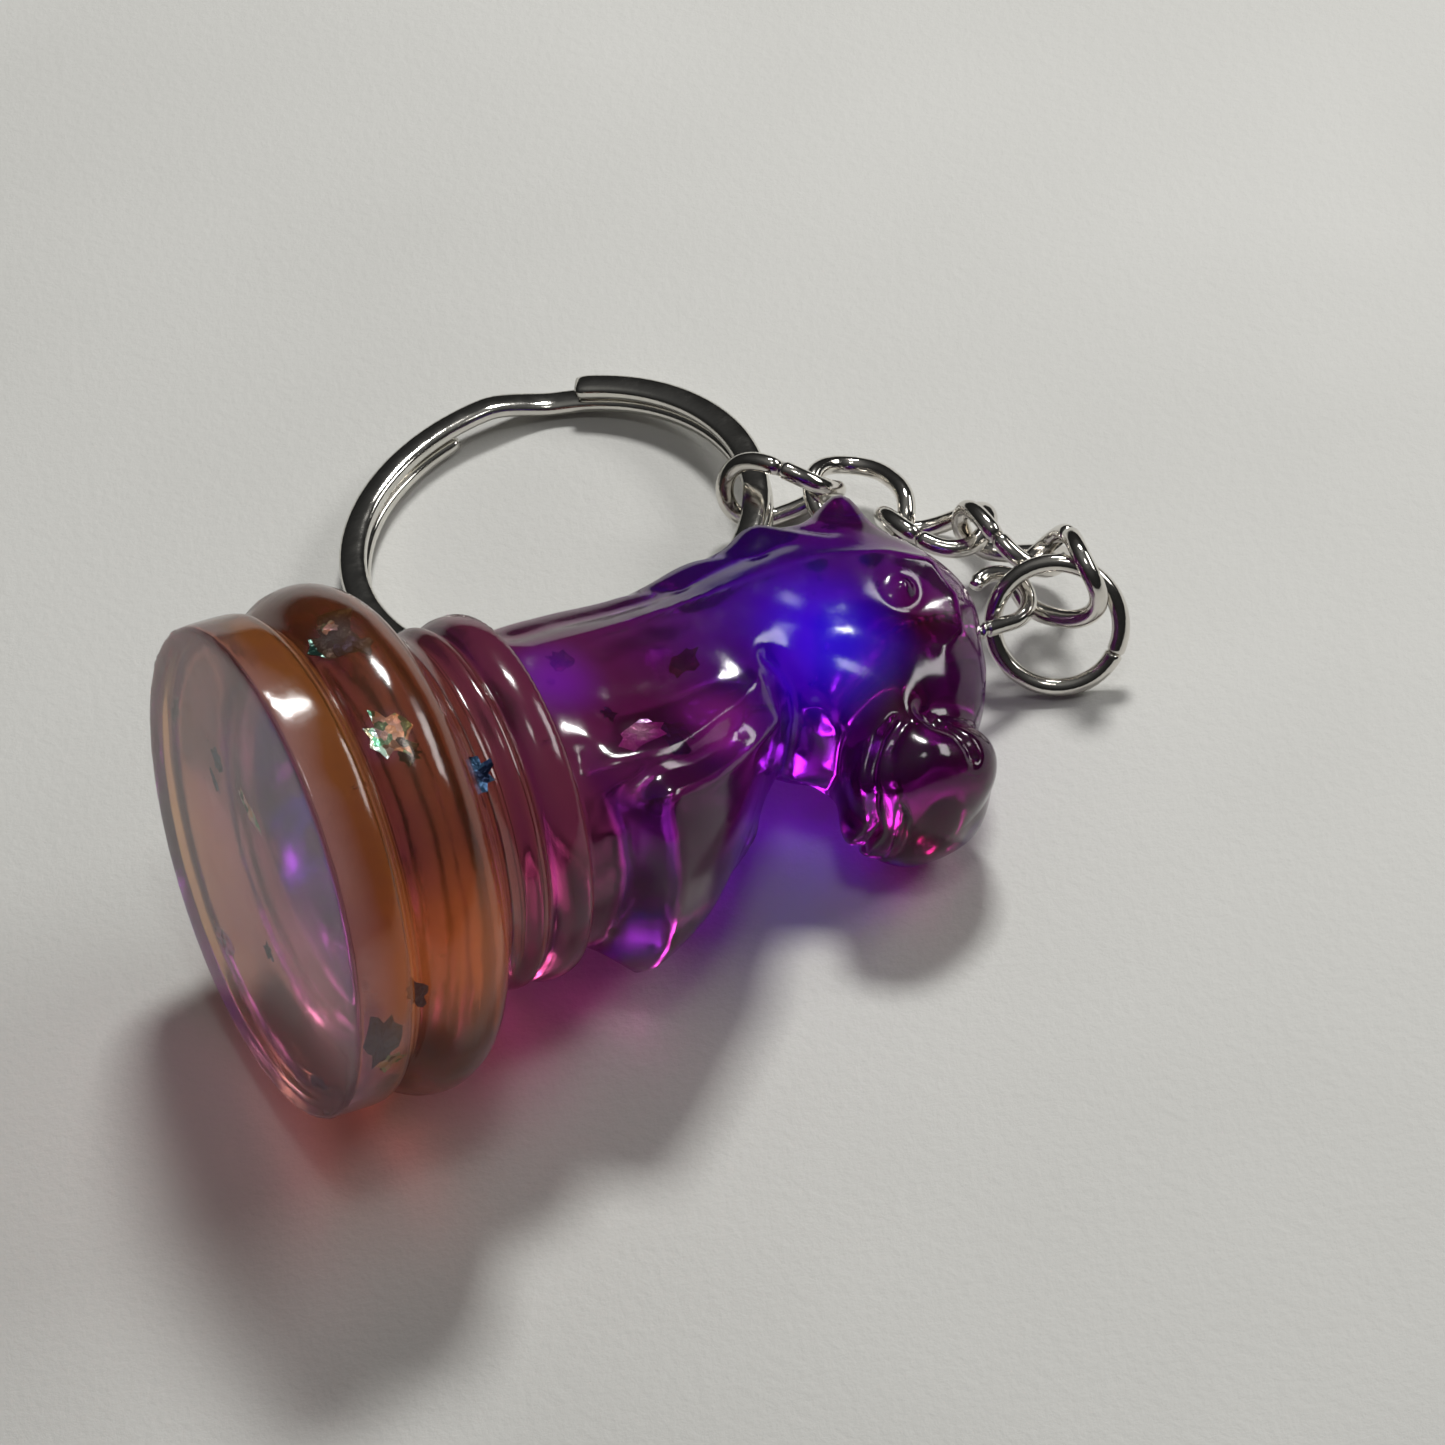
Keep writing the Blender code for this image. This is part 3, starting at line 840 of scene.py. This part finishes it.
class Nodes:
    """A short way to add and link shader nodes."""

    def __init__(self, name):
        self.material = bpy.data.materials.new(name)
        self.material.use_nodes = True
        self.tree = self.material.node_tree
        self.shader = self.tree.nodes["Principled BSDF"]
        self.output = self.tree.nodes["Material Output"]

    def add(self, kind, values=(), **settings):
        node = self.tree.nodes.new(kind)
        for key, value in settings.items():
            setattr(node, key, value)
        for key, value in dict(values).items():
            node.inputs[key].default_value = value
        return node

    def link(self, source, target):
        self.tree.links.new(source, target)

    def ramp(self, factor, stops):
        node = self.add("ShaderNodeValToRGB")
        set_stops(node.color_ramp.elements, stops)
        self.link(factor, node.inputs["Fac"])
        return node.outputs["Color"]

    def noise(self, scale, detail, vector, roughness=0.5):
        values = {"Scale": scale, "Detail": detail, "Roughness": roughness}
        node = self.add("ShaderNodeTexNoise", values)
        self.link(vector, node.inputs["Vector"])
        return node.outputs["Fac"]

    def place(self):
        return self.add("ShaderNodeTexCoord").outputs["Object"]

    def math(self, operation, first, second):
        node = self.add("ShaderNodeMath", operation=operation)
        for socket, value in zip(node.inputs, (first, second)):
            if isinstance(value, (int, float)):
                socket.default_value = value
            else:
                self.link(value, socket)
        return node.outputs[0]

    def span(self, value, low, high, new_low=0.0, new_high=1.0):
        limits = {"From Min": low, "From Max": high, "To Min": new_low, "To Max": new_high}
        node = self.add("ShaderNodeMapRange", limits)
        self.link(value, node.inputs["Value"])
        return node.outputs["Result"]

    def mix(self, factor, first, second):
        """first where factor is 0 and second where it is 1. Each is a colour or a socket."""
        node = self.add("ShaderNodeMix", data_type="RGBA", blend_type="MIX")
        self.link(factor, node.inputs["Factor"])
        for socket, value in ((node.inputs[6], first), (node.inputs[7], second)):
            if isinstance(value, tuple):
                socket.default_value = (*value, 1.0)
            else:
                self.link(value, socket)
        return node.outputs[2]

    def bump(self, height, strength, distance):
        node = self.add("ShaderNodeBump", {"Strength": strength, "Distance": distance})
        self.link(height, node.inputs["Height"])
        self.link(node.outputs["Normal"], self.shader.inputs["Normal"])

    def near(self, vector, centre, radius):
        """1 at centre, a point in the row frame, fading to 0 at radius, millimetres."""
        gap = self.add("ShaderNodeVectorMath", operation="DISTANCE")
        self.link(vector, gap.inputs[0])
        gap.inputs[1].default_value = centre
        limits = {"From Min": 0.0, "From Max": radius * MM, "To Min": 1.0, "To Max": 0.0}
        node = self.add("ShaderNodeMapRange", limits, interpolation_type="SMOOTHSTEP")
        self.link(gap.outputs["Value"], node.inputs["Value"])
        return node.outputs["Result"]


def resin_material(knight):
    """Clear polished resin, dyed amber in the foot and violet in the head, with drifting dye, and
    painted light emitted where the dye would scatter light.
    """
    nodes = Nodes("dyed_resin")
    place = nodes.place()
    axis = knight.to_3x3().col[2]
    along = nodes.add("ShaderNodeVectorMath", operation="DOT_PRODUCT")
    nodes.link(place, along.inputs[0])
    along.inputs[1].default_value = axis
    drift = nodes.noise(95.0, 3.0, place)
    height = nodes.math("SUBTRACT", along.outputs["Value"], axis.dot(knight.translation))
    height = nodes.math("ADD", height, nodes.span(drift, 0.0, 1.0, -DYE_DRIFT, DYE_DRIFT))
    colour = nodes.ramp(nodes.span(height, 0.0, DYE_LENGTH), DYE)
    for centre, radius, share, dye in DYE_CLOUDS:
        cloud = nodes.near(place, knight @ (Vector(centre) * MM), radius)
        colour = nodes.mix(nodes.math("MULTIPLY", cloud, share), colour, dye)
    for centre, radius in CLEAR_SPOTS:
        window = nodes.near(place, knight @ (Vector(centre) * MM), radius)
        colour = nodes.mix(nodes.math("MULTIPLY", window, CLEAR_SHARE), colour, CLEAR_COLOUR)
    swirl = nodes.noise(260.0, 5.0, place, 0.6)
    colour = nodes.mix(nodes.span(swirl, 0.45, 0.75, 0.0, DYE_SWIRL_SHARE), colour, DYE_SWIRL)
    nodes.link(colour, nodes.shader.inputs["Base Color"])
    # Painted light: emission stands in for light scattered and carried through the dye.
    painted_glow = (0.0, 0.0, 0.0)
    for centre, radius, tint in PAINTED_GLOWS:
        painted_glow = nodes.mix(nodes.near(place, knight @ (Vector(centre) * MM), radius), painted_glow, tint)
    nodes.link(painted_glow, nodes.shader.inputs["Emission Color"])
    nodes.shader.inputs["Emission Strength"].default_value = 1.0
    nodes.shader.inputs["Transmission Weight"].default_value = RESIN_CLEARNESS
    nodes.shader.inputs["IOR"].default_value = RESIN_IOR
    smears = nodes.noise(700.0, 4.0, place, 0.6)
    nodes.link(nodes.span(smears, 0.4, 0.8, *RESIN_ROUGHNESS), nodes.shader.inputs["Roughness"])
    scuffs = nodes.noise(2600.0, 4.0, place, 0.7)
    ripple = nodes.noise(330.0, 2.0, place)
    surface = nodes.math("ADD", nodes.math("MULTIPLY", scuffs, 0.12), ripple)
    nodes.bump(surface, 0.14, 0.0003)
    # The resin's shadow is its own colour, darkened, and not the black one of a solid.
    clear = nodes.add("ShaderNodeBsdfTransparent")
    shade = nodes.span(height, *SHADE_SPAN)
    nodes.link(nodes.mix(shade, colour, DYE_SHADE), clear.inputs["Color"])
    switch = nodes.add("ShaderNodeMixShader")
    nodes.link(nodes.add("ShaderNodeLightPath").outputs["Is Shadow Ray"], switch.inputs["Fac"])
    nodes.link(nodes.shader.outputs["BSDF"], switch.inputs[1])
    nodes.link(clear.outputs["BSDF"], switch.inputs[2])
    nodes.link(switch.outputs["Shader"], nodes.output.inputs["Surface"])
    depth = nodes.add("ShaderNodeVolumeAbsorption", RESIN_DEPTH)
    nodes.link(depth.outputs["Volume"], nodes.output.inputs["Volume"])
    return nodes.material


def nickel_material(name, tint, rough):
    """Bright nickel plate with faint smears and small pits."""
    nodes = Nodes(name)
    place = nodes.place()
    smears = nodes.noise(900.0, 4.0, place, 0.6)
    pits = nodes.noise(4200.0, 3.0, place, 0.7)
    dull = nodes.mix(nodes.span(smears, 0.35, 0.8, 0.0, 0.6), tint, tuple(c * 0.72 for c in tint))
    nodes.link(dull, nodes.shader.inputs["Base Color"])
    nodes.shader.inputs["Metallic"].default_value = 1.0
    nodes.link(nodes.span(smears, 0.3, 0.8, rough, rough + 0.12), nodes.shader.inputs["Roughness"])
    nodes.bump(nodes.math("ADD", smears, nodes.math("MULTIPLY", pits, 0.5)), 0.22, 0.00006)
    return nodes.material


def foil_material(name, stops, scale, metallic, rough):
    """Crinkled foil whose colour shifts from patch to patch."""
    nodes = Nodes(name)
    place = nodes.place()
    patches = nodes.add("ShaderNodeTexVoronoi", {"Scale": scale})
    nodes.link(place, patches.inputs["Vector"])
    tone = nodes.add("ShaderNodeSeparateColor")
    nodes.link(patches.outputs["Color"], tone.inputs[0])
    nodes.link(nodes.ramp(tone.outputs[0], stops), nodes.shader.inputs["Base Color"])
    nodes.shader.inputs["Metallic"].default_value = metallic
    nodes.shader.inputs["Roughness"].default_value = rough
    nodes.bump(nodes.noise(1800.0, 3.0, place), 0.8, 0.0002)
    return nodes.material


def bubble_material():
    nodes = Nodes("air_bubble")
    tone = nodes.noise(3000.0, 2.0, nodes.place())
    colour = nodes.ramp(tone, ((0.0, (0.9, 0.8, 0.9)), (1.0, (1.0, 1.0, 1.0))))
    nodes.link(colour, nodes.shader.inputs["Base Color"])
    nodes.shader.inputs["Transmission Weight"].default_value = 1.0
    nodes.shader.inputs["IOR"].default_value = BUBBLE_IOR
    nodes.shader.inputs["Roughness"].default_value = 0.02
    return nodes.material


def floor_material():
    nodes = Nodes("pale_table")
    place = nodes.place()
    fibres = nodes.noise(1500.0, 4.0, place, 0.65)
    blotches = nodes.noise(25.0, 3.0, place)
    colour = nodes.mix(nodes.span(blotches, 0.3, 0.7), *FLOOR_TONES)
    nodes.link(colour, nodes.shader.inputs["Base Color"])
    nodes.shader.inputs["Roughness"].default_value = 0.62
    nodes.bump(fibres, 0.25, 0.0002)
    return nodes.material


# Scene ---------------------------------------------------------------------------------------


def add_knight(place):
    mesh = casting_mesh()
    roughen(mesh)
    add_piece("knight_resin", mesh, resin_material(place), place, "knight", "resin", "knight_casting")
    add_flakes(place, {finish: foil_material(*look) for finish, look in FOILS.items()})
    add_bubbles(place, bubble_material())


def add_metal(place):
    bright = nickel_material("bright_nickel", *BRIGHT_NICKEL)
    worn = nickel_material("ring_nickel", *RING_NICKEL)
    spin = Matrix.Rotation(EYE_SPIN, 4, "Z")
    eye_place = place @ spin @ Matrix.Translation(Vector(EYE_PLACE) * MM)
    path = eye_path()
    mesh = grid_mesh("screw_eye_wire", tube_loops(path, eye_section(path)))
    add_piece("screw_eye_wire", mesh, bright, eye_place, "knight", "nickel", "screw_eye")

    angles = [2 * pi * i / JUMP_STEPS for i in range(JUMP_STEPS)]
    circle = [(JUMP_RADIUS * cos(angle), JUMP_RADIUS * sin(angle), 0.0) for angle in angles]
    mesh = grid_mesh("jump_ring_wire", tube_loops(seamed(circle), round_wire(JUMP_WIRE, JUMP_CUT)))
    jump_place = turned_frame(*JUMP_PLACE)
    add_piece("jump_ring_wire", mesh, bright, jump_place, "jump_ring", "nickel", "jump_ring")

    for number, link_place in enumerate(LINK_PLACES, start=1):
        name = f"chain_link_{number}"
        loops = tube_loops(seamed(link_path()), round_wire(LINK_WIRE, LINK_CUT))
        mesh = grid_mesh(f"{name}_wire", loops)
        add_piece(f"{name}_wire", mesh, bright, turned_frame(*link_place), name, "nickel", name)

    loops = tube_loops(coil_path(), coil_section, up=(0.0, 0.0, 1.0))
    mesh = grid_mesh("split_ring_coil", loops)
    ring_place = turned_frame(*RING_PLACE)
    add_piece("split_ring_coil", mesh, worn, ring_place, "split_ring", "nickel", "split_ring")


def add_floor():
    mesh = bpy.data.meshes.new("floor")
    half = FLOOR_HALF
    corners = [(-half, -half, 0), (half, -half, 0), (half, half, 0), (-half, half, 0)]
    mesh.from_pydata(corners, [], [(0, 1, 2, 3)])
    mesh.materials.append(floor_material())
    floor = bpy.data.objects.new("floor", mesh)
    bpy.context.scene.collection.objects.link(floor)


def add_light(name, place, size, watts, colour):
    data = bpy.data.lights.new(name, "AREA")
    data.shape = "RECTANGLE"
    data.size, data.size_y = size
    data.energy = watts
    data.color = colour
    made = bpy.data.objects.new(name, data)
    made.location = place
    away = Vector(place) - Vector(LIGHT_TARGET)
    made.rotation_euler = away.to_track_quat("Z", "Y").to_euler()
    bpy.context.scene.collection.objects.link(made)


def add_world():
    world = bpy.data.worlds.new("studio")
    bpy.context.scene.world = world
    world.use_nodes = True
    tree = world.node_tree
    background = tree.nodes["Background"]
    where = tree.nodes.new("ShaderNodeTexCoord")
    parts = tree.nodes.new("ShaderNodeSeparateXYZ")
    tree.links.new(where.outputs["Generated"], parts.inputs[0])
    ramp = tree.nodes.new("ShaderNodeValToRGB")
    set_stops(ramp.color_ramp.elements, WORLD_STOPS)
    tree.links.new(parts.outputs["Z"], ramp.inputs["Fac"])
    tree.links.new(ramp.outputs["Color"], background.inputs["Color"])
    background.inputs["Strength"].default_value = WORLD_STRENGTH


def add_camera():
    data = bpy.data.cameras.new("camera")
    data.lens = CAMERA_LENS
    data.sensor_width = 36.0
    data.clip_start = 0.01
    camera = bpy.data.objects.new("camera", data)
    turn = Matrix.Rotation(CAMERA_TILT, 4, "X") @ Matrix.Rotation(CAMERA_ROLL, 4, "Z")
    camera.matrix_world = Matrix.Translation(CAMERA_PLACE) @ turn
    bpy.context.scene.collection.objects.link(camera)
    bpy.context.scene.camera = camera
    bpy.context.scene.view_settings.view_transform = "Standard"


knight_place = knight_frame()
add_knight(knight_place)
add_metal(knight_place)
add_floor()
for light in LIGHTS:
    add_light(*light)
add_world()
add_camera()

bpy.context.view_layer.update()
